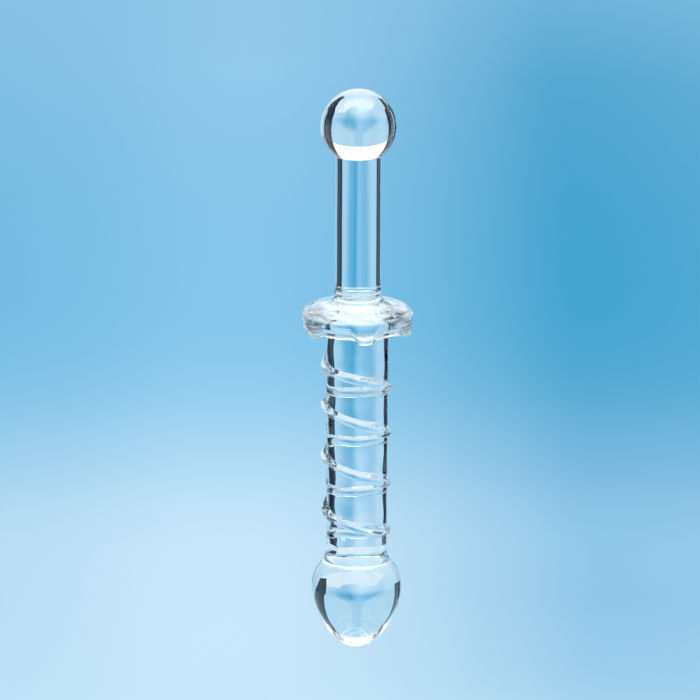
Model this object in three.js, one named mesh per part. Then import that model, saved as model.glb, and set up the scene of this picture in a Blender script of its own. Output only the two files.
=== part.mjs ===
// A solid clear glass wand: a ball knob on a plain handle rod, a scalloped guard, a thicker shaft with one
// glass thread wound round it, and an egg-shaped head. All of it is fused glass and nothing moves.
//
// Millimetres. +Z runs up the wand's axis, from the rounded tip of the head at the origin to the ball knob.
// The front faces -Y, and azimuths are measured from the front towards +X.

import * as THREE from 'three';

// Heights along the axis where one piece of the wand ends and the next begins.
const HEAD_TOP = 35.0;
const HEAD_COLLAR_TOP = 38.8;
const SHAFT_TOP = 129.0;
const GUARD_TOP = 138.8;
const NECK_TOP = 143.2;
const HANDLE_TOP = 195.9;

// Radii.
const HEAD_RADIUS = 17.5;
const HEAD_SHOULDER_RADIUS = 12.8;
const HEAD_COLLAR_RADIUS = 12.5;
const SHAFT_RADIUS_LOW = 11.7;
const SHAFT_RADIUS_HIGH = 12.1;
const GUARD_RADIUS = 21.7;
const GUARD_LIP_RADIUS = 20.2;
const GUARD_SEAT_RADIUS = 18.3;
const GUARD_CROWN_RADIUS = 10.4;
const HANDLE_RADIUS = 9.0;
const BALL_RADIUS = 14.7;

// The head is an egg, widest above its middle.
const HEAD_WIDEST_HEIGHT = 24.0;

// The guard's lip is a slim bead that hangs below its flat underside, with a groove above it. Six rounded lobes
// swell and droop out of the lip.
const GUARD_WIDEST_HEIGHT = 132.8;
const GUARD_LIP_HEIGHT = 127.5;
const GUARD_BEAD = { out: 1.2, up: 0.8 };
const GUARD_GROOVE = { out: 0.6, up: 1.9 };
const LOBES = [
  { azimuth: 8, droop: 2.0 },
  { azimuth: 66, droop: 1.2 },
  { azimuth: 126, droop: 1.1 },
  { azimuth: 186, droop: 1.3 },
  { azimuth: 246, droop: 1.1 },
  { azimuth: 306, droop: 1.1 },
];
const LOBE_HALF_WIDTH = 10.5;
const LOBE_SWELL_PER_DROOP = 0.35;

// The thread is a half-round bead laid by hand, so its pitch wanders. It winds down the shaft towards +X
// across the front, which makes it left-handed.
const THREAD_START = { azimuth: -118, height: 117.0 };
const THREAD_QUARTER_TURNS = [
  113.1, 109.6, 104.0, 100.4,
  97.0, 92.0, 85.9, 80.9,
  76.9, 71.4, 66.2, 60.8,
  55.6, 50.6, 47.1, 43.9,
];
const THREAD_END = { azimuth: 1325, height: 42.2 };
// Its size within each turn. It was laid on thick at the left, where it also drops most steeply.
const THREAD_SECTIONS = [
  { azimuth: -90, halfWidth: 3.2, rise: 2.3 },
  { azimuth: -46, halfWidth: 2.0, rise: 1.1 },
  { azimuth: 0, halfWidth: 2.0, rise: 0.9 },
  { azimuth: 45, halfWidth: 2.8, rise: 1.2 },
  { azimuth: 90, halfWidth: 2.3, rise: 1.55 },
  { azimuth: 180, halfWidth: 2.1, rise: 1.2 },
  { azimuth: 225, halfWidth: 2.4, rise: 1.6 },
  { azimuth: 270, halfWidth: 3.2, rise: 2.3 },
];
const THREAD_LIFT = { azimuth: 225, height: 1.7, halfWidth: 35 };
const THREAD_TIP_SHARE = 0.3;
const THREAD_TAPER_SHARE = 0.04;
const THREAD_STEPS = 200;
const THREAD_SIDES = 8;
const THREAD_GAP = 0.3;

const LATHE_SIDES = 48;
const GUARD_SIDES = 120;
const CURVE_STEPS = 6;
const GUARD_CURVE_STEPS = 4;

const { smoothstep, lerp, degToRad, radToDeg, euclideanModulo } = THREE.MathUtils;

const clearGlass = () => new THREE.MeshStandardMaterial({
  color: 0xdcecf5,
  roughness: 0.04,
  metalness: 0,
  transparent: true,
  opacity: 0.35,
});

function piece(name, geometry) {
  const mesh = new THREE.Mesh(geometry, clearGlass());
  mesh.name = name;
  return mesh;
}

// An outline of (radius, height) points, from the axis at the bottom to the axis at the top, turned round +Z.
function turned(outline, sides, curveSteps) {
  return new THREE.LatheGeometry(outline.getPoints(curveSteps), sides).rotateX(Math.PI / 2);
}

function rod(lowRadius, highRadius, low, high) {
  return new THREE.CylinderGeometry(highRadius, lowRadius, high - low, LATHE_SIDES)
    .rotateX(Math.PI / 2)
    .translate(0, 0, (low + high) / 2);
}

function headBulb() {
  const outline = new THREE.Path();
  outline.moveTo(0, 0);
  outline.bezierCurveTo(9.8, 0, HEAD_RADIUS, HEAD_WIDEST_HEIGHT - 8.6, HEAD_RADIUS, HEAD_WIDEST_HEIGHT);
  outline.bezierCurveTo(
    HEAD_RADIUS, HEAD_WIDEST_HEIGHT + 4.5,
    HEAD_SHOULDER_RADIUS + 2.8, HEAD_TOP - 2.0,
    HEAD_SHOULDER_RADIUS, HEAD_TOP,
  );
  outline.lineTo(0, HEAD_TOP);
  return turned(outline, LATHE_SIDES, CURVE_STEPS);
}

// A soft fillet where the shaft was fused to the head.
function headCollar() {
  const outline = new THREE.Path();
  outline.moveTo(0, HEAD_TOP);
  outline.lineTo(HEAD_COLLAR_RADIUS, HEAD_TOP);
  outline.bezierCurveTo(
    HEAD_COLLAR_RADIUS + 0.3, HEAD_TOP + 1.2,
    SHAFT_RADIUS_LOW + 0.35, HEAD_TOP + 2.4,
    SHAFT_RADIUS_LOW, HEAD_COLLAR_TOP,
  );
  outline.lineTo(0, HEAD_COLLAR_TOP);
  return turned(outline, LATHE_SIDES, CURVE_STEPS);
}

// How far the lip droops at this azimuth, where each lobe is a smooth hump.
function droopAt(azimuth) {
  return LOBES.reduce((sum, lobe) => {
    const away = euclideanModulo(azimuth - lobe.azimuth + 180, 360) - 180;
    return sum + lobe.droop * Math.exp(-((away / LOBE_HALF_WIDTH) ** 4));
  }, 0);
}

// A thick cap with a rounded edge, a shallow groove above its lip and a flat seat underneath round the shaft.
// The lip is pulled down and out into the lobes, while the seat and the crown stay as they were turned.
function guard() {
  const bead = { radius: GUARD_LIP_RADIUS + GUARD_BEAD.out, height: GUARD_LIP_HEIGHT + GUARD_BEAD.up };
  const groove = { radius: GUARD_LIP_RADIUS + GUARD_GROOVE.out, height: GUARD_LIP_HEIGHT + GUARD_GROOVE.up };
  const outline = new THREE.Path();
  outline.moveTo(0, SHAFT_TOP);
  outline.lineTo(SHAFT_RADIUS_HIGH + THREAD_GAP, SHAFT_TOP);
  outline.lineTo(GUARD_SEAT_RADIUS, SHAFT_TOP);
  outline.quadraticCurveTo(GUARD_SEAT_RADIUS + 0.4, GUARD_LIP_HEIGHT, GUARD_LIP_RADIUS, GUARD_LIP_HEIGHT);
  outline.quadraticCurveTo(bead.radius, GUARD_LIP_HEIGHT, bead.radius, bead.height);
  outline.bezierCurveTo(
    bead.radius, bead.height + 0.7,
    groove.radius, groove.height - 0.5,
    groove.radius, groove.height,
  );
  outline.quadraticCurveTo(GUARD_RADIUS, GUARD_WIDEST_HEIGHT - 2.4, GUARD_RADIUS, GUARD_WIDEST_HEIGHT);
  outline.bezierCurveTo(
    GUARD_RADIUS, GUARD_WIDEST_HEIGHT + 3.5,
    GUARD_CROWN_RADIUS + 5.0, GUARD_TOP - 1.0,
    GUARD_CROWN_RADIUS, GUARD_TOP,
  );
  outline.lineTo(0, GUARD_TOP);
  const geometry = turned(outline, GUARD_SIDES, GUARD_CURVE_STEPS);
  const places = geometry.getAttribute('position');
  const place = new THREE.Vector3();
  for (let i = 0; i < places.count; i += 1) {
    place.fromBufferAttribute(places, i);
    const radius = Math.hypot(place.x, place.y);
    const outer = smoothstep(radius, GUARD_SEAT_RADIUS, GUARD_LIP_RADIUS);
    const droop = droopAt(radToDeg(Math.atan2(place.x, -place.y))) * outer;
    const low = 1 - smoothstep(place.z, GUARD_LIP_HEIGHT + 1.5, GUARD_WIDEST_HEIGHT + 1.5);
    const grown = 1 + (LOBE_SWELL_PER_DROOP * droop * lerp(0.4, 1, low)) / GUARD_RADIUS;
    places.setXYZ(i, place.x * grown, place.y * grown, place.z - droop * low);
  }
  geometry.computeVertexNormals();
  return geometry;
}

// The foot of the handle: a flare out of the guard, a groove cut a little into the rod and a faint bead.
function neckCollar() {
  const groove = { radius: HANDLE_RADIUS - 0.35, height: GUARD_TOP + 2.1 };
  const bead = { radius: HANDLE_RADIUS + 0.3, height: GUARD_TOP + 3.2 };
  const outline = new THREE.Path();
  outline.moveTo(0, GUARD_TOP);
  outline.lineTo(GUARD_CROWN_RADIUS, GUARD_TOP);
  outline.bezierCurveTo(
    HANDLE_RADIUS + 0.5, GUARD_TOP + 0.7,
    groove.radius, groove.height - 0.8,
    groove.radius, groove.height,
  );
  outline.bezierCurveTo(
    groove.radius, groove.height + 0.5,
    bead.radius, bead.height - 0.6,
    bead.radius, bead.height,
  );
  outline.bezierCurveTo(
    bead.radius, bead.height + 0.4,
    HANDLE_RADIUS, NECK_TOP - 0.6,
    HANDLE_RADIUS, NECK_TOP,
  );
  outline.lineTo(0, NECK_TOP);
  return turned(outline, LATHE_SIDES, CURVE_STEPS);
}

// A ball cut flat where the handle runs into it.
function ballKnob() {
  const centre = HANDLE_TOP + Math.sqrt(BALL_RADIUS ** 2 - HANDLE_RADIUS ** 2);
  const cut = -Math.acos(HANDLE_RADIUS / BALL_RADIUS);
  const outline = new THREE.Path();
  outline.moveTo(0, HANDLE_TOP);
  outline.lineTo(HANDLE_RADIUS, HANDLE_TOP);
  outline.absarc(0, centre, BALL_RADIUS, cut, Math.PI / 2, false);
  return turned(outline, LATHE_SIDES, CURVE_STEPS);
}

// The thread's course as (azimuth in degrees, height), which is a smooth curve through its start, the heights
// at which it crosses the shaft's left, front, right and back in turn, and its end.
function threadCourse() {
  const crossings = THREAD_QUARTER_TURNS.map((height, i) => new THREE.Vector2(-90 + 90 * i, height));
  return new THREE.SplineCurve([
    new THREE.Vector2(THREAD_START.azimuth, THREAD_START.height),
    ...crossings,
    new THREE.Vector2(THREAD_END.azimuth, THREAD_END.height),
  ]);
}

// Half width and rise of the thread at an azimuth within a turn.
function threadSection(azimuth) {
  const within = euclideanModulo(azimuth + 90, 360) - 90;
  const next = THREAD_SECTIONS.findIndex((section) => within < section.azimuth);
  const [low, high] = [THREAD_SECTIONS[next - 1], THREAD_SECTIONS[next]];
  const share = smoothstep(within, low.azimuth, high.azimuth);
  return { halfWidth: lerp(low.halfWidth, high.halfWidth, share), rise: lerp(low.rise, high.rise, share) };
}

// The thread stays high round the back of each turn before it drops down the left side.
function threadLift(azimuth) {
  const away = euclideanModulo(azimuth - THREAD_LIFT.azimuth + 180, 360) - 180;
  return THREAD_LIFT.height * Math.exp(-((away / THREAD_LIFT.halfWidth) ** 2));
}

// A straight closed rod bent along the course, with the half of it that would lie inside the shaft flattened
// onto the shaft's surface, and both ends tapered.
function spiralThread() {
  const course = threadCourse();
  const geometry = new THREE.CylinderGeometry(1, 1, 1, THREAD_SIDES, THREAD_STEPS);
  const places = geometry.getAttribute('position');
  for (let i = 0; i < places.count; i += 1) {
    const along = 0.5 - places.getY(i);
    const { x: azimuth, y: height } = course.getPoint(along);
    const fromEnd = Math.min(along, 1 - along);
    const share = lerp(THREAD_TIP_SHARE, 1, smoothstep(fromEnd, 0, THREAD_TAPER_SHARE));
    const up = (height - HEAD_COLLAR_TOP) / (SHAFT_TOP - HEAD_COLLAR_TOP);
    const shaftRadius = lerp(SHAFT_RADIUS_LOW, SHAFT_RADIUS_HIGH, up);
    const section = threadSection(azimuth);
    const rise = Math.max(section.rise * share * places.getX(i), THREAD_GAP);
    const radius = shaftRadius + rise;
    const turn = degToRad(azimuth);
    places.setXYZ(
      i,
      radius * Math.sin(turn),
      -radius * Math.cos(turn),
      height + threadLift(azimuth) - section.halfWidth * share * places.getZ(i),
    );
  }
  geometry.computeVertexNormals();
  return geometry;
}

const wand = new THREE.Group();
wand.add(
  piece('head_bulb', headBulb()),
  piece('head_collar', headCollar()),
  piece('shaft_rod', rod(SHAFT_RADIUS_LOW, SHAFT_RADIUS_HIGH, HEAD_COLLAR_TOP, SHAFT_TOP)),
  piece('spiral_thread', spiralThread()),
  piece('guard', guard()),
  piece('neck_collar', neckCollar()),
  piece('handle_rod', rod(HANDLE_RADIUS, HANDLE_RADIUS, NECK_TOP, HANDLE_TOP)),
  piece('ball_knob', ballKnob()),
);

export default wand;
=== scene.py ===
"""A solid clear glass wand in soft studio light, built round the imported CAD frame.

Every piece is its own closed mesh. Where two pieces are fused, the faces that touch have a look of their own
that bends no light, so that the whole wand refracts as one piece of glass.
Metres, Z up, front towards -Y. Azimuths are in degrees, measured from the front towards +X.
"""

import math

import bpy
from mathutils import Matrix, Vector, noise


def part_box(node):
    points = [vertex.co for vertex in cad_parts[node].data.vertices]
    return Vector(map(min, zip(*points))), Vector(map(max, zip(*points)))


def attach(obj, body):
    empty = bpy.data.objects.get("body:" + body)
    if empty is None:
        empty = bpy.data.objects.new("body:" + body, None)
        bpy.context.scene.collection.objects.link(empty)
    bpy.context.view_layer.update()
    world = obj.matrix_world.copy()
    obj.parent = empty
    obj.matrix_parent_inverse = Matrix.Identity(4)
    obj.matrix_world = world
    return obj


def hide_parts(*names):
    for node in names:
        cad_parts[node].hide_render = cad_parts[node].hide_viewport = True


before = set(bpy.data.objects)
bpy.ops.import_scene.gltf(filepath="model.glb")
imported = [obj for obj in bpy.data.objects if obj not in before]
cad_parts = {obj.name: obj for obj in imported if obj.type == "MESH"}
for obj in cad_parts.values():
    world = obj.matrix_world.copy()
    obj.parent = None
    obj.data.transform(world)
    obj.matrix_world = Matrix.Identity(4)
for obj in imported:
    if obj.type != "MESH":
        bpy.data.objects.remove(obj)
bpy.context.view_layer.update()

MM = 0.001
SIDES = 192  # round every turned piece, so that the rims of touching pieces share their points
CURVE_STEPS = 20

GLASS, FUSED = 0, 1  # material slots on every piece of the wand
TOUCHING = 1e-7  # lengths that differ by less than this are the same
GRID = 1e8  # steps to a metre, in which places are compared to find the points that two faces share
SHARP_ANGLE = 38  # degrees between two faces from which their edge is sharp


# ---------------------------------------------------------------- sizes, from the frame

def radius_of(node):
    low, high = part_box(node)
    return (high.x - low.x) / 2


HEAD_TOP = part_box("head_bulb")[1].z
COLLAR_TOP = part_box("head_collar")[1].z
SHAFT_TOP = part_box("shaft_rod")[1].z
GUARD_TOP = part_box("guard")[1].z
NECK_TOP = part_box("neck_collar")[1].z
HANDLE_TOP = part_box("handle_rod")[1].z
WAND_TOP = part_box("ball_knob")[1].z

HEAD_RADIUS = radius_of("head_bulb")
SHAFT_RADIUS_HIGH = radius_of("shaft_rod")
SHAFT_RADIUS_LOW = SHAFT_RADIUS_HIGH - 0.4 * MM
CROWN_RADIUS = radius_of("neck_collar")
HANDLE_RADIUS = radius_of("handle_rod")
BALL_RADIUS = radius_of("ball_knob")

COLLAR_FOOT_RADIUS = SHAFT_RADIUS_LOW + 0.8 * MM
SHOULDER_RADIUS = COLLAR_FOOT_RADIUS + 0.3 * MM
HEAD_WIDEST = HEAD_TOP - 11.0 * MM
HEAD_BELLY = 8.6 * MM  # handle of the head's curve below its widest, which makes it full
HEAD_TIP = 9.8 * MM  # handle of the head's curve at its tip, which makes it blunt

GUARD_RADIUS = 21.7 * MM
LIP_RADIUS = GUARD_RADIUS - 1.5 * MM
SEAT_RADIUS = GUARD_RADIUS - 3.4 * MM
GUARD_WIDEST = SHAFT_TOP + 3.8 * MM
LIP_HEIGHT = SHAFT_TOP - 1.5 * MM
LOBES = [(8, 2.0), (66, 1.2), (126, 1.1), (186, 1.3), (246, 1.1), (306, 1.1)]  # azimuth, droop in mm
LOBE_HALF_WIDTH = 10.5
LOBE_SWELL_PER_DROOP = 0.35
UPPER_SWELL = 0.4  # share of a lobe's swell that reaches the top of the wall
FACETS = [(6.5 * MM, 0.42 * MM), (2.6 * MM, 0.06 * MM)]  # size and depth of the marks of a tooled edge
CLEAN_FROM, CLEAN_TO = 24, 42  # degrees off the front, over which the facets come in
CLEAN_SHARE = 0.12  # of the facets, that is left at the front
TURNING_MARK, TURNING_DEPTH = 0.21 * MM, 0.012 * MM

THREAD_START, THREAD_END = -118, 1325
THREAD_HEIGHTS = [  # at the start, at every quarter turn from azimuth -90, and at the end, in mm
    117.0,
    113.1, 109.6, 104.0, 100.4,
    97.0, 92.0, 85.9, 80.9,
    76.9, 71.4, 66.2, 60.8,
    55.6, 50.6, 47.1, 43.9,
    42.2,
]
THREAD_SECTIONS = [  # azimuth within a turn, half width and rise in mm
    (-90, 3.2, 2.3), (-46, 2.0, 1.1), (0, 2.0, 0.9), (45, 2.8, 1.2), (90, 2.3, 1.55),
    (180, 2.1, 1.2), (225, 2.4, 1.6), (270, 3.2, 2.3),
]
THREAD_LIFT, LIFT_AZIMUTH, LIFT_HALF_WIDTH = 1.7, 225, 35
THREAD_TIP = 50  # degrees over which each end of the thread rounds off
THREAD_SOFTNESS = 0.65  # of the thread's upper edge

HAND_WAVE_SIZE = 8 * MM  # of the slow waves in the head and the ball
HAND_WAVE_FADE = 2 * MM  # over which they die away towards a joint
HAND_WAVE_PLACE = Vector((3.1, 7.7, 1.3))  # where in the noise they are taken from
PRESSED_AZIMUTH = -100  # the side of the shaft that the thread was pressed on
PRESSED_SIZE, PRESSED_DEPTH, PRESSED_FADE = 7 * MM, 0.55 * MM, 5 * MM


# ---------------------------------------------------------------- small helpers

def lerp(a, b, t):
    return a + (b - a) * t


def smoothstep(x, low, high):
    t = min(max((x - low) / (high - low), 0), 1)
    return t * t * (3 - 2 * t)


def quadratic(a, b, c, steps=CURVE_STEPS):
    """Points of a quadratic Bezier curve, without its first."""
    leaving = [lerp(p, q, 2 / 3) for p, q in zip(a, b)]
    arriving = [lerp(p, q, 2 / 3) for p, q in zip(c, b)]
    return cubic(a, leaving, arriving, c, steps)


def cubic(a, b, c, d, steps=CURVE_STEPS):
    """Points of a cubic Bezier curve, without its first."""
    points = []
    for i in range(1, steps + 1):
        t = i / steps
        s = 1 - t
        weights = (s ** 3, 3 * s * s * t, 3 * s * t * t, t ** 3)
        points.append(tuple(sum(w * p[k] for w, p in zip(weights, (a, b, c, d))) for k in (0, 1)))
    return points


def polar(radius, azimuth, height):
    turn = math.radians(azimuth)
    return Vector((radius * math.sin(turn), -radius * math.cos(turn), height))


def mesh_object(name, points, faces, looks=None):
    mesh = bpy.data.meshes.new(name)
    mesh.from_pydata([tuple(p) for p in points], [], faces)
    if looks:
        mesh.polygons.foreach_set("material_index", looks)
    mesh.polygons.foreach_set("use_smooth", [True] * len(faces))
    mesh.set_sharp_from_angle(angle=math.radians(SHARP_ANGLE))
    mesh.update()
    piece = bpy.data.objects.new(name, mesh)
    bpy.context.scene.collection.objects.link(piece)
    return piece


def is_within(low, high, disc):
    """Whether the stretch of outline from low to high lies on a (height, radius) disc."""
    height, radius = disc
    level = abs(low[1] - height) < TOUCHING and abs(high[1] - height) < TOUCHING
    return level and (low[0] + high[0]) / 2 < radius


def turned(name, outline, contacts, reshape=None):
    """Turns an outline of (radius, height) points, from the axis below to the axis above, into a closed mesh.
    contacts are the (height, radius) discs where other pieces are fused on."""
    points, rings = [], []
    for radius, height in outline:
        if radius < TOUCHING:
            rings.append([len(points)] * SIDES)
            points.append(Vector((0, 0, height)))
        else:
            rings.append(list(range(len(points), len(points) + SIDES)))
            points.extend(polar(radius, 360 * k / SIDES, height) for k in range(SIDES))
    faces, looks = [], []
    for (low, high), (lower, upper) in zip(zip(outline, outline[1:]), zip(rings, rings[1:])):
        fused = any(is_within(low, high, disc) for disc in contacts)
        for k in range(SIDES):
            n = (k + 1) % SIDES
            corners = list(dict.fromkeys((lower[k], lower[n], upper[n], upper[k])))
            faces.append(corners)
            looks.append(FUSED if fused else GLASS)
    if reshape:
        points = [reshape(p) for p in points]
    return mesh_object(name, points, faces, looks)


# ---------------------------------------------------------------- looks

def empty_look(name):
    """A material without nodes, and what adds nodes to it and links them."""
    material = bpy.data.materials.new(name)
    material.use_nodes = True
    tree = material.node_tree
    tree.nodes.clear()
    return material, tree.nodes.new, tree.links.new


def bumps(new, link, place, size, detail, depth):
    """Soft bumps over a surface, from noise of one size."""
    heights = new("ShaderNodeTexNoise")
    heights.inputs["Scale"].default_value = 1 / size
    heights.inputs["Detail"].default_value = detail
    link(place.outputs["Object"], heights.inputs["Vector"])
    bump = new("ShaderNodeBump")
    bump.inputs["Strength"].default_value = 1.0
    bump.inputs["Distance"].default_value = depth
    link(heights.outputs["Fac"], bump.inputs["Height"])
    return bump


def clear_glass(name, wave_size=14 * MM, wave_depth=0.08 * MM, fine_size=2.2 * MM, fine_depth=0.0):
    """Clear borosilicate glass. Its surface has the slow waves of glass worked hot, and a few fine ones."""
    material, new, link = empty_look(name)
    out = new("ShaderNodeOutputMaterial")
    glass = new("ShaderNodeBsdfPrincipled")
    glass.inputs["Base Color"].default_value = (0.985, 0.995, 1.0, 1)
    glass.inputs["Roughness"].default_value = 0.0
    glass.inputs["IOR"].default_value = 1.47
    glass.inputs["Transmission Weight"].default_value = 1.0
    place = new("ShaderNodeTexCoord")
    slow = bumps(new, link, place, wave_size, 1.0, wave_depth)
    fine = bumps(new, link, place, fine_size, 2.0, fine_depth)
    link(slow.outputs["Normal"], fine.inputs["Normal"])
    link(fine.outputs["Normal"], glass.inputs["Normal"])
    link(glass.outputs["BSDF"], out.inputs["Surface"])
    return material


def beyond(tree, value, low, high):
    """A share that rises smoothly from 0 to 1 as value goes from low to high."""
    step = tree.nodes.new("ShaderNodeMapRange")
    step.interpolation_type = "SMOOTHSTEP"
    step.inputs["From Min"].default_value = low
    step.inputs["From Max"].default_value = high
    tree.links.new(value, step.inputs["Value"])
    return step.outputs["Result"]


def put(link, value, socket):
    """Links an output to a socket, or sets the socket to a plain value."""
    if isinstance(value, (float, tuple)):
        socket.default_value = value
    else:
        link(value, socket)


def calculated(tree, operation, *values):
    step = tree.nodes.new("ShaderNodeMath")
    step.operation = operation
    for socket, value in zip(step.inputs, values):
        put(tree.links.new, value, socket)
    return step.outputs["Value"]


# Where the streaks are on a piece. at holds the place on its surface as X, Y and Z.

def on_guard_dome_and_flanks(tree, at):
    dome = beyond(tree, at["Z"], GUARD_WIDEST - 0.5 * MM, GUARD_WIDEST + 1.5 * MM)
    flank = beyond(tree, calculated(tree, "ABSOLUTE", at["X"]), 11 * MM, 16 * MM)
    return calculated(tree, "MAXIMUM", dome, flank)


def on_thick_thread(tree, at):
    squares = [calculated(tree, "MULTIPLY", at[axis], at[axis]) for axis in "XY"]
    radius = calculated(tree, "SQRT", calculated(tree, "ADD", *squares))
    return beyond(tree, radius, SHAFT_RADIUS_HIGH + 0.4 * MM, SHAFT_RADIUS_HIGH + 1.5 * MM)


def on_head_shoulder(tree, at):
    return beyond(tree, at["Z"], HEAD_TOP - 1.1 * MM, HEAD_TOP - 0.3 * MM)


STREAK_LENGTH, STREAK_THICKNESS = 9 * MM, 1.1 * MM
CLEAREST_NOISE, MILKIEST_NOISE = 0.35, 0.68


def add_milky_streaks(material, region, strongest):
    """Fine level streaks, left where the hot glass was worked, scatter light over a region of the surface."""
    tree = material.node_tree
    new, link = tree.nodes.new, tree.links.new
    place = new("ShaderNodeTexCoord")
    stretch = new("ShaderNodeMapping")
    stretch.inputs["Scale"].default_value = (1 / STREAK_LENGTH, 1 / STREAK_LENGTH, 1 / STREAK_THICKNESS)
    link(place.outputs["Object"], stretch.inputs["Vector"])
    streaks = new("ShaderNodeTexNoise")
    streaks.inputs["Scale"].default_value = 1.0
    streaks.inputs["Detail"].default_value = 2.0
    link(stretch.outputs["Vector"], streaks.inputs["Vector"])
    split = new("ShaderNodeSeparateXYZ")
    link(place.outputs["Object"], split.inputs["Vector"])
    where = region(tree, split.outputs)
    depth = new("ShaderNodeMapRange")
    depth.inputs["From Min"].default_value = CLEAREST_NOISE
    depth.inputs["From Max"].default_value = MILKIEST_NOISE
    depth.inputs["To Max"].default_value = strongest
    link(streaks.outputs["Fac"], depth.inputs["Value"])
    milk = calculated(tree, "MULTIPLY", depth.outputs["Result"], where)
    clear = calculated(tree, "SUBTRACT", 1.0, milk)
    link(clear, tree.nodes["Principled BSDF"].inputs["Transmission Weight"])


def fused_joint():
    """Where two pieces of glass have become one, light goes straight through."""
    material, new, link = empty_look("fused_joint")
    out = new("ShaderNodeOutputMaterial")
    clear = new("ShaderNodeBsdfTransparent")
    link(clear.outputs["BSDF"], out.inputs["Surface"])
    return material


# ---------------------------------------------------------------- the wand

def worked_by_hand(depth, held_below, held_above):
    """Returns a reshape that moves a turned surface in and out a little, and leaves its ends as they are."""
    def reshape(p):
        fade_in = smoothstep(p.z, held_below, held_below + HAND_WAVE_FADE)
        fade_out = 1 - smoothstep(p.z, held_above - HAND_WAVE_FADE, held_above)
        shift = noise.noise(p / HAND_WAVE_SIZE + HAND_WAVE_PLACE) * depth * fade_in * fade_out
        out = Vector((p.x, p.y, 0))
        return p + out.normalized() * shift if out.length > 0.5 * MM else p
    return reshape


def head_bulb():
    outline = [(0, 0)]
    outline += cubic(
        (0, 0),
        (HEAD_TIP, 0),
        (HEAD_RADIUS, HEAD_WIDEST - HEAD_BELLY),
        (HEAD_RADIUS, HEAD_WIDEST),
        steps=60,
    )
    outline += cubic(
        (HEAD_RADIUS, HEAD_WIDEST),
        (HEAD_RADIUS, HEAD_WIDEST + 4.5 * MM),
        (SHOULDER_RADIUS + 2.8 * MM, HEAD_TOP - 2.0 * MM),
        (SHOULDER_RADIUS, HEAD_TOP),
        steps=40,
    )
    outline += [(COLLAR_FOOT_RADIUS, HEAD_TOP), (0, HEAD_TOP)]
    contacts = [(HEAD_TOP, COLLAR_FOOT_RADIUS)]
    return turned("head_bulb_glass", outline, contacts, worked_by_hand(0.16 * MM, 0, HEAD_TOP))


def head_collar():
    outline = [(0, HEAD_TOP), (COLLAR_FOOT_RADIUS, HEAD_TOP)]
    outline += cubic(
        (COLLAR_FOOT_RADIUS, HEAD_TOP),
        (COLLAR_FOOT_RADIUS + 0.3 * MM, HEAD_TOP + 1.2 * MM),
        (SHAFT_RADIUS_LOW + 0.35 * MM, HEAD_TOP + 2.4 * MM),
        (SHAFT_RADIUS_LOW, COLLAR_TOP),
    )
    outline += [(0, COLLAR_TOP)]
    contacts = [(HEAD_TOP, COLLAR_FOOT_RADIUS), (COLLAR_TOP, SHAFT_RADIUS_LOW)]
    return turned("head_collar_glass", outline, contacts)


def droop_at(azimuth):
    total = 0
    for middle, droop in LOBES:
        away = (azimuth - middle + 180) % 360 - 180
        total += droop * MM * math.exp(-((away / LOBE_HALF_WIDTH) ** 4))
    return total


def lobed(p):
    """Pulls the rim down and out into the lobes, and gives the wall the uneven facets of a tooled edge."""
    radius = math.hypot(p.x, p.y)
    azimuth = math.degrees(math.atan2(p.x, -p.y))
    outer = smoothstep(radius, SEAT_RADIUS, LIP_RADIUS)
    droop = droop_at(azimuth) * outer
    low = 1 - smoothstep(p.z, LIP_HEIGHT + 1.5 * MM, GUARD_WIDEST + 1.5 * MM)
    grown = LOBE_SWELL_PER_DROOP * droop * lerp(UPPER_SWELL, 1, low)
    still = CROWN_RADIUS if p.z > SHAFT_TOP + 0.01 * MM else SEAT_RADIUS
    worked = smoothstep(radius, still, LIP_RADIUS)
    clean = 1 - smoothstep(abs(azimuth), CLEAN_FROM, CLEAN_TO)
    facets = sum(noise.noise(p / size) * depth for size, depth in FACETS)
    grown += facets * worked * lerp(1, CLEAN_SHARE, clean)
    marks = math.sin(p.z / TURNING_MARK) * TURNING_DEPTH * worked
    scale = 1 + (grown + marks) / max(radius, MM)
    return Vector((p.x * scale, p.y * scale, p.z - droop * low))


def guard():
    outline = [(0, SHAFT_TOP), (SHAFT_RADIUS_HIGH, SHAFT_TOP), (SEAT_RADIUS, SHAFT_TOP)]
    bead = (LIP_RADIUS + 1.2 * MM, LIP_HEIGHT + 0.8 * MM)
    groove = (LIP_RADIUS + 0.6 * MM, LIP_HEIGHT + 1.9 * MM)
    widest = (GUARD_RADIUS, GUARD_WIDEST)
    lip = (LIP_RADIUS, LIP_HEIGHT)
    outline += quadratic(outline[-1], (SEAT_RADIUS + 0.4 * MM, LIP_HEIGHT), lip, steps=12)
    outline += quadratic(lip, (bead[0], LIP_HEIGHT), bead, steps=12)
    outline += cubic(bead, (bead[0], bead[1] + 0.7 * MM), (groove[0], groove[1] - 0.5 * MM), groove, steps=12)
    outline += quadratic(groove, (GUARD_RADIUS, GUARD_WIDEST - 2.4 * MM), widest, steps=24)
    outline += cubic(
        widest,
        (GUARD_RADIUS, GUARD_WIDEST + 3.5 * MM),
        (CROWN_RADIUS + 5.0 * MM, GUARD_TOP - 1.0 * MM),
        (CROWN_RADIUS, GUARD_TOP),
        steps=48,
    )
    outline += [(0, GUARD_TOP)]
    contacts = [(SHAFT_TOP, SHAFT_RADIUS_HIGH), (GUARD_TOP, CROWN_RADIUS)]
    return turned("guard_glass", outline, contacts, lobed)


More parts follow.
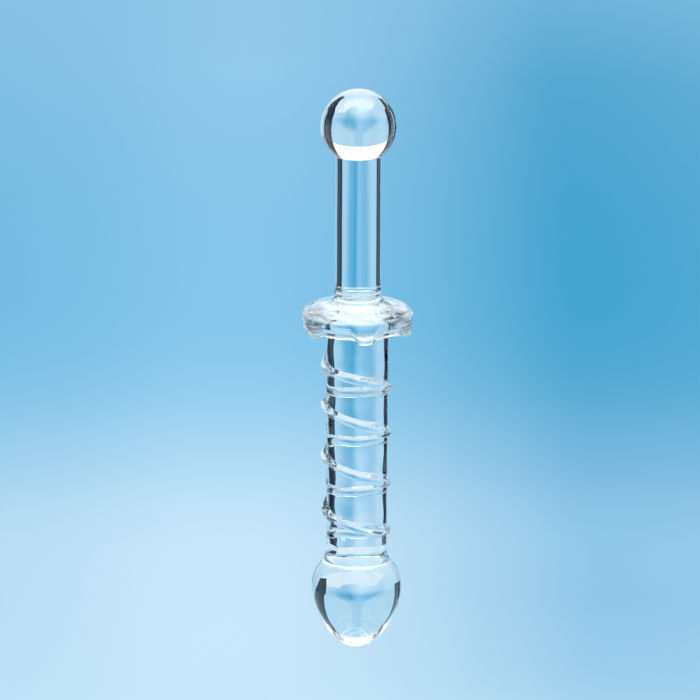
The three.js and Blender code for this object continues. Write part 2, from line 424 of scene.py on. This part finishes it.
def neck_collar():
    """A faint bead, a groove cut a little into the rod, and a flare that runs out into the guard."""
    groove = (HANDLE_RADIUS - 0.35 * MM, GUARD_TOP + 2.1 * MM)
    bead = (HANDLE_RADIUS + 0.3 * MM, GUARD_TOP + 3.2 * MM)
    outline = [(0, GUARD_TOP), (CROWN_RADIUS, GUARD_TOP)]
    outline += cubic(
        outline[-1],
        (HANDLE_RADIUS + 0.5 * MM, GUARD_TOP + 0.7 * MM),
        (groove[0], groove[1] - 0.8 * MM),
        groove,
    )
    outline += cubic(groove, (groove[0], groove[1] + 0.5 * MM), (bead[0], bead[1] - 0.6 * MM), bead)
    outline += cubic(
        bead, (bead[0], bead[1] + 0.4 * MM), (HANDLE_RADIUS, NECK_TOP - 0.6 * MM), (HANDLE_RADIUS, NECK_TOP)
    )
    outline += [(0, NECK_TOP)]
    return turned("neck_collar_glass", outline, [(GUARD_TOP, CROWN_RADIUS), (NECK_TOP, HANDLE_RADIUS)])


def handle_rod():
    steps = 24
    outline = [(0, NECK_TOP)]
    outline += [(HANDLE_RADIUS, lerp(NECK_TOP, HANDLE_TOP, i / steps)) for i in range(steps + 1)]
    outline += [(0, HANDLE_TOP)]
    return turned("handle_rod_glass", outline, [(NECK_TOP, HANDLE_RADIUS), (HANDLE_TOP, HANDLE_RADIUS)])


def ball_knob():
    steps = 90
    centre = WAND_TOP - BALL_RADIUS
    cut = -math.acos(HANDLE_RADIUS / BALL_RADIUS)
    outline = [(0, HANDLE_TOP), (HANDLE_RADIUS, HANDLE_TOP)]
    for i in range(1, steps):
        turn = lerp(cut, math.pi / 2, i / steps)
        outline.append((BALL_RADIUS * math.cos(turn), centre + BALL_RADIUS * math.sin(turn)))
    outline.append((0, WAND_TOP))
    contacts = [(HANDLE_TOP, HANDLE_RADIUS)]
    return turned("ball_knob_glass", outline, contacts, worked_by_hand(0.22 * MM, HANDLE_TOP, WAND_TOP))


def shaft_radius(azimuth, height):
    """The rod tapers a little, and waves a little at the left, where the thread was pressed on."""
    radius = lerp(SHAFT_RADIUS_LOW, SHAFT_RADIUS_HIGH, (height - COLLAR_TOP) / (SHAFT_TOP - COLLAR_TOP))
    fade_in = smoothstep(height, COLLAR_TOP, COLLAR_TOP + PRESSED_FADE)
    fade_out = 1 - smoothstep(height, SHAFT_TOP - PRESSED_FADE, SHAFT_TOP)
    pressed = max(math.cos(math.radians(azimuth - PRESSED_AZIMUTH)), 0) ** 0.5
    wave = noise.noise(polar(radius, azimuth, height) / PRESSED_SIZE) * PRESSED_DEPTH
    return radius + wave * fade_in * fade_out * pressed


THREAD_AZIMUTHS = [THREAD_START, *range(-90, THREAD_END, 90), THREAD_END]


def thread_lift(azimuth):
    """The thread stays high round the back of each turn before it drops down the left side."""
    away = (azimuth - LIFT_AZIMUTH + 180) % 360 - 180
    return THREAD_LIFT * math.exp(-((away / LIFT_HALF_WIDTH) ** 2))


def thread_height(azimuth):
    """The height of the thread's middle at an azimuth that keeps counting up from turn to turn. Beyond its
    ends the course goes on straight, which is what the shaft's rows of points follow."""
    az, hs = THREAD_AZIMUTHS, THREAD_HEIGHTS
    mean = (hs[-1] - hs[0]) / (az[-1] - az[0])
    if azimuth <= az[0]:
        return (hs[0] + mean * (azimuth - az[0]) + thread_lift(azimuth)) * MM
    if azimuth >= az[-1]:
        return (hs[-1] + mean * (azimuth - az[-1]) + thread_lift(azimuth)) * MM
    i = max(k for k in range(len(az) - 1) if az[k] <= azimuth)

    def slope(k):
        low, high = max(k - 1, 0), min(k + 1, len(az) - 1)
        return (hs[high] - hs[low]) / (az[high] - az[low])

    span = az[i + 1] - az[i]
    t = (azimuth - az[i]) / span
    height = (
        (2 * t ** 3 - 3 * t * t + 1) * hs[i]
        + (t ** 3 - 2 * t * t + t) * span * slope(i)
        + (3 * t * t - 2 * t ** 3) * hs[i + 1]
        + (t ** 3 - t * t) * span * slope(i + 1)
    )
    return (height + thread_lift(azimuth)) * MM


def thread_share(azimuth):
    """How much of its full size the thread has, which rounds off to nothing at its ends."""
    from_end = min(azimuth - THREAD_START, THREAD_END - azimuth) / THREAD_TIP
    if from_end <= 0:
        return 0
    return math.sqrt(1 - (1 - min(from_end, 1)) ** 2)


def thread_section(azimuth):
    """Half width and rise of the thread, which was laid on thick at the left and thin elsewhere."""
    within = (azimuth + 90) % 360 - 90
    for low, high in zip(THREAD_SECTIONS, THREAD_SECTIONS[1:]):
        if within <= high[0]:
            t = smoothstep(within, low[0], high[0])
            break
    share = thread_share(azimuth)
    return lerp(low[1], high[1], t) * share * MM, lerp(low[2], high[2], t) * share * MM


def thread_rise(azimuth, across):
    """How far the thread stands out. across goes from 1 at its upper edge, which melts into the rod, to -1 at
    its lower edge, which meets the rod in a crease."""
    crest = thread_section(azimuth)[1]
    round_side = math.sqrt(max(1 - across * across, 0))
    soft_side = (1 + math.cos(math.pi * across)) / 2
    softness = THREAD_SOFTNESS if across > 0 else 0
    return crest * lerp(round_side, soft_side, softness)


FOOT_ROWS = 8
GAP_ROWS = 14
STEP = 360 / SIDES
FIRST_COLUMN = math.ceil(THREAD_START / STEP) - 3 * SIDES
LAST_COLUMN = math.floor(THREAD_END / STEP) + 2 * SIDES


def foot_heights(column):
    azimuth = column * STEP
    middle, half = thread_height(azimuth), thread_section(azimuth)[0]
    return [middle + half * (1 - 2 * j / FOOT_ROWS) for j in range(FOOT_ROWS + 1)]


def shaft_rod():
    """The rod, with its rows of points running round it along the thread, so that the thread's foot is whole
    rows of faces."""
    points, found = [], {}

    def point(column, height):
        height = min(max(height, COLLAR_TOP), SHAFT_TOP)
        key = (column % SIDES, round(height * GRID))
        if key not in found:
            found[key] = len(points)
            points.append(polar(shaft_radius(column * STEP, height), column * STEP, height))
        return found[key]

    columns = {}
    for column in range(FIRST_COLUMN, LAST_COLUMN + 1):
        foot = foot_heights(column)
        below = foot_heights(column + SIDES)[0]
        gap = [lerp(foot[-1], below, j / GAP_ROWS) for j in range(1, GAP_ROWS + 1)]
        columns[column] = [point(column, h) for h in foot + gap]
    faces, looks = [], []
    for column in range(FIRST_COLUMN, LAST_COLUMN):
        here, there = columns[column], columns[column + 1]
        for j in range(FOOT_ROWS + GAP_ROWS):
            corners = list(dict.fromkeys((here[j + 1], there[j + 1], there[j], here[j])))
            if len(corners) > 2:
                faces.append(corners)
                looks.append(FUSED if j < FOOT_ROWS else GLASS)
    for height, flip in ((COLLAR_TOP, -1), (SHAFT_TOP, 1)):
        rim = [point(k, height) for k in range(SIDES)]
        faces.append(rim[::flip])
        looks.append(FUSED)
    return mesh_object("shaft_rod_glass", points, faces, looks)


def spiral_thread():
    """A half-round bead on the rod. Its foot has the same points as the rod under it."""
    steps = 28
    points, found = [], {}

    def point(column, radius, height):
        key = (column, round(radius * GRID), round(height * GRID))
        if key not in found:
            found[key] = len(points)
            points.append(polar(radius, column * STEP, height))
        return found[key]

    first, last = math.ceil(THREAD_START / STEP), math.floor(THREAD_END / STEP)
    rings = []
    for column in range(first - 1, last + 2):
        azimuth = column * STEP
        half = thread_section(azimuth)[0]
        middle, foot = thread_height(azimuth), foot_heights(column)
        ring = []
        for j in range(1, steps):
            turn = math.pi * j / steps
            height = middle + half * math.cos(turn)
            radius = shaft_radius(azimuth, height) + thread_rise(azimuth, math.cos(turn))
            ring.append(point(column, radius, height))
        ring += [point(column, shaft_radius(azimuth, h), h) for h in reversed(foot)]
        rings.append(ring)
    faces, looks = [], []
    size = len(rings[0])
    for here, there in zip(rings, rings[1:]):
        for j in range(size):
            n = (j + 1) % size
            corners = list(dict.fromkeys((here[j], here[n], there[n], there[j])))
            if len(corners) > 2:
                faces.append(corners)
                looks.append(FUSED if steps - 1 <= j < size - 1 else GLASS)
    return mesh_object("spiral_thread_glass", points, faces, looks)


def build_wand():
    joint = fused_joint()
    wavy = clear_glass("worked_glass", 9 * MM, 0.25 * MM, fine_size=3 * MM, fine_depth=0.04 * MM)
    shaped = clear_glass("shaped_glass")
    add_milky_streaks(shaped, on_head_shoulder, 1.0)
    pressed = clear_glass("pressed_glass", 9 * MM, 0.2 * MM, fine_size=3 * MM, fine_depth=0.02 * MM)
    add_milky_streaks(pressed, on_guard_dome_and_flanks, 0.5)
    trailed = clear_glass("trailed_glass")
    add_milky_streaks(trailed, on_thick_thread, 0.95)
    drawn = clear_glass("drawn_glass")
    made = [
        (head_bulb(), "head_bulb", shaped),
        (head_collar(), "head_collar", wavy),
        (shaft_rod(), "shaft_rod", drawn),
        (spiral_thread(), "spiral_thread", trailed),
        (guard(), "guard", pressed),
        (neck_collar(), "neck_collar", drawn),
        (handle_rod(), "handle_rod", drawn),
        (ball_knob(), "ball_knob", drawn),
    ]
    for piece, node, look in made:
        piece.data.materials.append(look)
        piece.data.materials.append(joint)
        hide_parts(node)
        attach(piece, "root")


# ---------------------------------------------------------------- camera

VIEW_ELEVATION = 13.5
VIEW_DISTANCE = 4.4
FRAME_WIDTH = 271.6 * MM  # what the picture spans where the wand stands
AIM = Vector((-2.9 * MM, 0, 118.7 * MM))
LEAN = 0.26  # degrees that the picture is turned, so that the wand leans a little to the right


def camera():
    data = bpy.data.cameras.new("camera")
    data.sensor_width = 36
    data.lens = data.sensor_width * VIEW_DISTANCE / FRAME_WIDTH
    data.clip_start, data.clip_end = 0.05, 60
    eye = bpy.data.objects.new("camera", data)
    bpy.context.scene.collection.objects.link(eye)
    e = math.radians(VIEW_ELEVATION)
    back = Vector((0, -math.cos(e), math.sin(e)))
    eye.location = AIM + back * VIEW_DISTANCE
    eye.rotation_euler = (-back).to_track_quat("-Z", "Y").to_euler()
    eye.rotation_euler.rotate_axis("Z", math.radians(LEAN))
    bpy.context.scene.camera = eye


# ---------------------------------------------------------------- studio

FLOOR_HEIGHT = -0.16
STUDIO_RADIUS = 6.0
STUDIO_HEIGHT = 6.5


def glowing(name, colour):
    material, new, link = empty_look(name)
    out = new("ShaderNodeOutputMaterial")
    glow = new("ShaderNodeEmission")
    glow.inputs["Color"].default_value = (*colour, 1)
    link(glow.outputs["Emission"], out.inputs["Surface"])
    return material


def ramp(new, stops):
    node = new("ShaderNodeValToRGB")
    marks = node.color_ramp
    marks.interpolation = "CARDINAL"
    while len(marks.elements) < len(stops):
        marks.elements.new(0.5)
    for element, (where, colour) in zip(marks.elements, stops):
        element.position = where
        element.color = (*colour, 1)
    return node


REACH = 3.0  # how far out the floor's colours change
# Painted light: the floor's glow is palest at the wand's foot and darkens with distance, standing in for
# studio light that falls off.
NEAR_TO_FAR_LEFT = [  # distance from the wand's foot, colour
    (0.00, (0.80, 0.91, 0.985)),
    (0.25, (0.64, 0.85, 0.970)),
    (0.45, (0.58, 0.81, 0.960)),
    (0.78, (0.570, 0.790, 0.958)),
    (0.90, (0.470, 0.735, 0.925)),
    (1.05, (0.320, 0.630, 0.875)),
    (1.25, (0.240, 0.570, 0.830)),
    (1.85, (0.295, 0.590, 0.840)),
    (3.00, (0.400, 0.670, 0.880)),
]
NEAR_TO_FAR_RIGHT = [
    (0.00, (0.95, 0.98, 1.0)),
    (0.25, (0.60, 0.80, 0.960)),
    (0.50, (0.37, 0.650, 0.860)),
    (0.66, (0.270, 0.560, 0.805)),
    (0.80, (0.255, 0.555, 0.795)),
    (0.90, (0.200, 0.490, 0.750)),
    (1.07, (0.090, 0.400, 0.655)),
    (1.30, (0.045, 0.360, 0.620)),
    (1.85, (0.080, 0.380, 0.630)),
    (3.00, (0.120, 0.430, 0.680)),
]
ACROSS = 0.8
# Painted light from the left: the right-hand colours are the deeper ones, so the floor is painted darker on
# the side that gets less light.
LEFT_TO_RIGHT = [  # sideways place, share of the right-hand colours
    (-0.80, 0.15), (-0.45, 0.22), (-0.28, 0.38), (-0.14, 0.22), (-0.05, 0.0),
    (0.04, 0.42), (0.08, 0.74), (0.12, 0.92), (0.24, 0.62), (0.42, 0.35), (0.80, 0.15),
]
FAR_SHARE = 0.3  # of the right-hand colours, beyond the part of the floor that is in the picture
FAR_FROM, FAR_TO = 1.8, 2.4
SIDE_SHARE = 0.6  # of SIDE_COLOUR, beyond the picture's sides
SIDE_COLOUR = (0.48, 0.74, 0.91, 1)
SIDE_FROM, SIDE_TO = 0.28, 0.62
CEILING_COLOUR = (1.15, 1.15, 1.15, 1)
CEILING_FROM, CEILING_TO = 3.4, 5.6


def mixed(new, link, share, first, second, kind="RGBA"):
    mix = new("ShaderNodeMix")
    mix.data_type = kind
    for value, name in ((share, "Factor"), (first, "A"), (second, "B")):
        put(link, value, mix.inputs[name])
    return mix.outputs["Result"]


def between(new, link, value, low, high):
    """A share that rises evenly from 0 to 1 as value goes from low to high."""
    step = new("ShaderNodeMapRange")
    step.inputs["From Min"].default_value = low
    step.inputs["From Max"].default_value = high
    link(value, step.inputs["Value"])
    return step.outputs["Result"]


def coloured(new, link, share, stops):
    colours = ramp(new, stops)
    link(share, colours.inputs["Fac"])
    return colours.outputs["Color"]


def backdrop_look():
    """A glowing floor with painted light: pale near the wand's foot, as if a pool of light fell there,
    deepening to blue with distance and more so to the right, as if lit from the left, below a glowing white
    ceiling.
    """
    material, new, link = empty_look("blue_sweep")
    tree = material.node_tree
    out = new("ShaderNodeOutputMaterial")
    place = new("ShaderNodeTexCoord")
    split = new("ShaderNodeSeparateXYZ")
    link(place.outputs["Object"], split.inputs["Vector"])
    at = split.outputs
    squares = [calculated(tree, "MULTIPLY", at[axis], at[axis]) for axis in "XY"]
    far = calculated(tree, "SQRT", calculated(tree, "ADD", *squares))
    share = calculated(tree, "DIVIDE", far, REACH)
    left = coloured(new, link, share, [(d / REACH, c) for d, c in NEAR_TO_FAR_LEFT])
    right = coloured(new, link, share, [(d / REACH, c) for d, c in NEAR_TO_FAR_RIGHT])
    side = between(new, link, at["X"], -ACROSS, ACROSS)
    near_share = coloured(new, link, side, [((x / ACROSS + 1) / 2, (v, v, v)) for x, v in LEFT_TO_RIGHT])
    is_far = between(new, link, far, FAR_FROM, FAR_TO)
    right_share = mixed(new, link, is_far, near_share, FAR_SHARE, "FLOAT")
    colour = mixed(new, link, right_share, left, right)
    beside = beyond(tree, calculated(tree, "ABSOLUTE", at["X"]), SIDE_FROM, SIDE_TO)
    colour = mixed(new, link, calculated(tree, "MULTIPLY", beside, SIDE_SHARE), colour, SIDE_COLOUR)
    colour = mixed(new, link, beyond(tree, at["Z"], CEILING_FROM, CEILING_TO), colour, CEILING_COLOUR)
    glow = new("ShaderNodeEmission")
    link(colour, glow.inputs["Color"])
    link(glow.outputs["Emission"], out.inputs["Surface"])
    return material


def sweep():
    """A round floor that curves up into a wall all the way round, far outside the camera's circle."""
    bend = 1.0
    outline = [(0.0, FLOOR_HEIGHT)]
    steps = 12
    outline += [((STUDIO_RADIUS - bend) * i / steps, FLOOR_HEIGHT) for i in range(1, steps + 1)]
    for i in range(1, steps + 1):
        turn = math.pi / 2 * i / steps
        outline.append((
            STUDIO_RADIUS - bend + bend * math.sin(turn),
            FLOOR_HEIGHT + bend - bend * math.cos(turn),
        ))
    outline.append((STUDIO_RADIUS, STUDIO_HEIGHT))
    floor = turned("floor", outline, [])
    floor.data.materials.append(backdrop_look())


def unseen_by_camera(card, look):
    card.data.materials.append(look)
    card.visible_camera = False
    card.visible_diffuse = False
    card.visible_shadow = False


BOARD_STEP = 3  # degrees to one face of a board


def board(name, radius, rows, look):
    """An upright curved board that only the glass sees. rows are (height, from azimuth, to azimuth)."""
    steps = round(abs(rows[0][2] - rows[0][1]) / BOARD_STEP)
    points, faces = [], []
    for height, start, end in rows:
        points += [polar(radius, lerp(start, end, i / steps), height) for i in range(steps + 1)]
    for row in range(len(rows) - 1):
        for i in range(steps):
            k = row * (steps + 1) + i
            faces.append((k, k + 1, k + steps + 2, k + steps + 1))
    unseen_by_camera(mesh_object(name, points, faces), look)


BOARD_RADIUS = 0.2
BOARDS = {  # height in mm and the azimuths, off the back and off the front, between which each board stands
    "board_right": (-1, [
        (-52, 30, 42), (-28, 28, 46), (-8, 28, 50), (4, 31, 54),
        (30, 32, 60), (84, 32, 60), (100, 30, 51), (450, 30, 51),
    ]),
    "board_left": (1, [(-27, 44, 74), (78, 44, 74), (100, 38, 62), (450, 37, 62)]),
}


def boards():
    dark = glowing("dark_board", (0.003, 0.0, 0.012))
    for name, (side, rows) in BOARDS.items():
        for end, middle in (("back", 180), ("front", 0)):
            turned_rows = [(z * MM, middle + side * a, middle + side * b) for z, a, b in rows]
            board(f"{name}_{end}", BOARD_RADIUS, turned_rows, dark)


SHADE_RADIUS = 0.26
SHADE_LOW, SHADE_FULL, SHADE_HIGH = 0.239, 0.250, 0.55
SHADE_GAPS = (96, 127)  # azimuths at both sides where a dark flag stands in the shade's place
SHADE_EDGE_COLOUR, SHADE_COLOUR = (0.30, 0.60, 0.85, 1), (1.25, 1.25, 1.25, 1)


def white_shade():
    """White bands round the wand, just above the picture, that light it and show low in every rounded end.
    They fade in from below."""
    material = glowing("white_shade", (1.0, 1.0, 1.0))
    tree = material.node_tree
    new, link = tree.nodes.new, tree.links.new
    place = new("ShaderNodeTexCoord")
    split = new("ShaderNodeSeparateXYZ")
    link(place.outputs["Object"], split.inputs["Vector"])
    rise = beyond(tree, split.outputs["Z"], SHADE_LOW, SHADE_FULL)
    tint = mixed(new, link, rise, SHADE_EDGE_COLOUR, SHADE_COLOUR)
    link(tint, tree.nodes["Emission"].inputs["Color"])
    start, end = SHADE_GAPS
    dark = glowing("side_flag", (0.01, 0.03, 0.09))
    for name, first, last, look in (
        ("shade_front", -start, start, material),
        ("shade_back", end, 360 - end, material),
        ("flag_right", start, end, dark),
        ("flag_left", -end, -start, dark),
    ):
        board(name, SHADE_RADIUS, [(SHADE_LOW, first, last), (SHADE_HIGH, first, last)], look)


GLOWING_PATCH_OUTLINE = [  # the ragged outline of a glowing patch on the floor behind the wand's foot, which only the glass sees: painted light, no lamp, that shows through the glass as a pale patch
    (-0.20, 0.34), (0.44, 0.34), (0.46, 0.52), (0.31, 0.66), (0.20, 0.72), (0.12, 0.60), (0.03, 0.57),
    (-0.05, 0.66), (-0.20, 0.60),
]


# Painted light: a pale glowing patch, hidden from the camera, that puts a bright patch into the rounded
# glass.
def glowing_patch():
    points = [(x, y, FLOOR_HEIGHT + MM) for x, y in GLOWING_PATCH_OUTLINE]
    sheet = mesh_object("glowing_patch", points, [tuple(range(len(points)))])
    unseen_by_camera(sheet, glowing("glowing_patch_light", (0.70, 0.86, 0.96)))


def softbox():
    data = bpy.data.lights.new("softbox", "AREA")
    data.shape = "RECTANGLE"
    data.size, data.size_y = 1.5, 1.1
    data.energy = 12
    data.color = (1.0, 1.0, 1.0)
    lamp = bpy.data.objects.new("softbox", data)
    lamp.location = (-0.1, -0.35, 1.15)
    lamp.visible_camera = False
    bpy.context.scene.collection.objects.link(lamp)


def sky():
    world = bpy.data.worlds.new("studio")
    world.use_nodes = True
    background = world.node_tree.nodes["Background"]
    background.inputs["Color"].default_value = (1.0, 1.0, 1.0, 1)
    background.inputs["Strength"].default_value = 1.15
    bpy.context.scene.world = world


def renderer():
    scene = bpy.context.scene
    scene.view_settings.view_transform = "Standard"
    scene.cycles.max_bounces = 32
    scene.cycles.transmission_bounces = 32
    scene.cycles.glossy_bounces = 12
    scene.cycles.transparent_max_bounces = 32


camera()
build_wand()
sweep()
boards()
white_shade()
glowing_patch()
softbox()
sky()
renderer()
